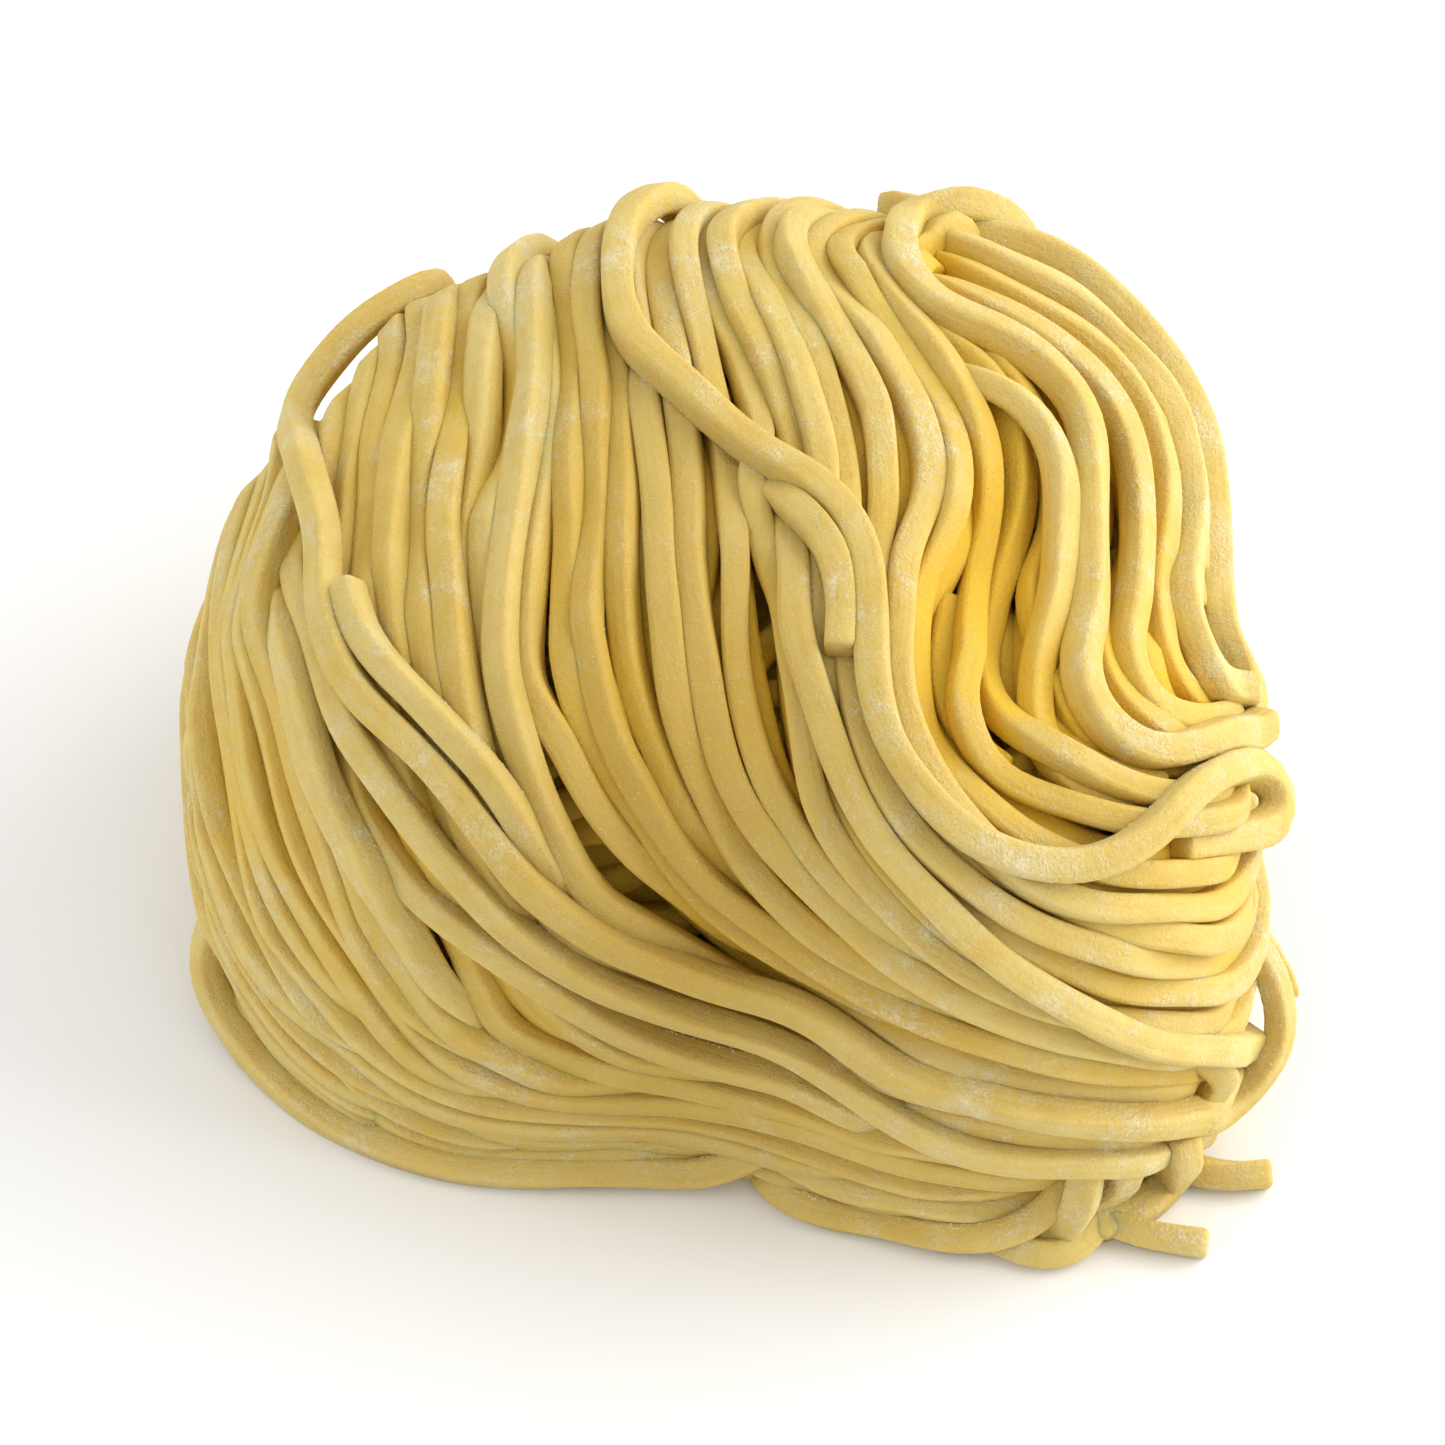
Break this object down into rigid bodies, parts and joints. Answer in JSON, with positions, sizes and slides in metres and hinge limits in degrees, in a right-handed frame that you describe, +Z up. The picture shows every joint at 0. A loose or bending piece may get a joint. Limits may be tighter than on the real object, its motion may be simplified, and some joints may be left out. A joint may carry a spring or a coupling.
{
  "type": "fresh pasta nest",
  "caption": "Mounded nest of fresh square-cut egg spaghetti, wound in turns over a crest and folded in at one side, with a few loose strands and cut ends.",
  "frame": {"origin": "middle of the nest's outline seen from above, on the surface that it rests on", "axes": "+Z up, +X to the nest's right as its sloping face is looked at, -Y towards the viewer; the nest is lowest along Z"},
  "size_m": [0.0944, 0.0884, 0.0572],
  "materials": {
    "fresh_pasta": "matte fresh egg dough dusted with flour, ochre yellow with paler dusty patches"
  },
  "bodies": {
    "root": {"pasta_nest": "fresh_pasta"}
  },
  "joints": []
}
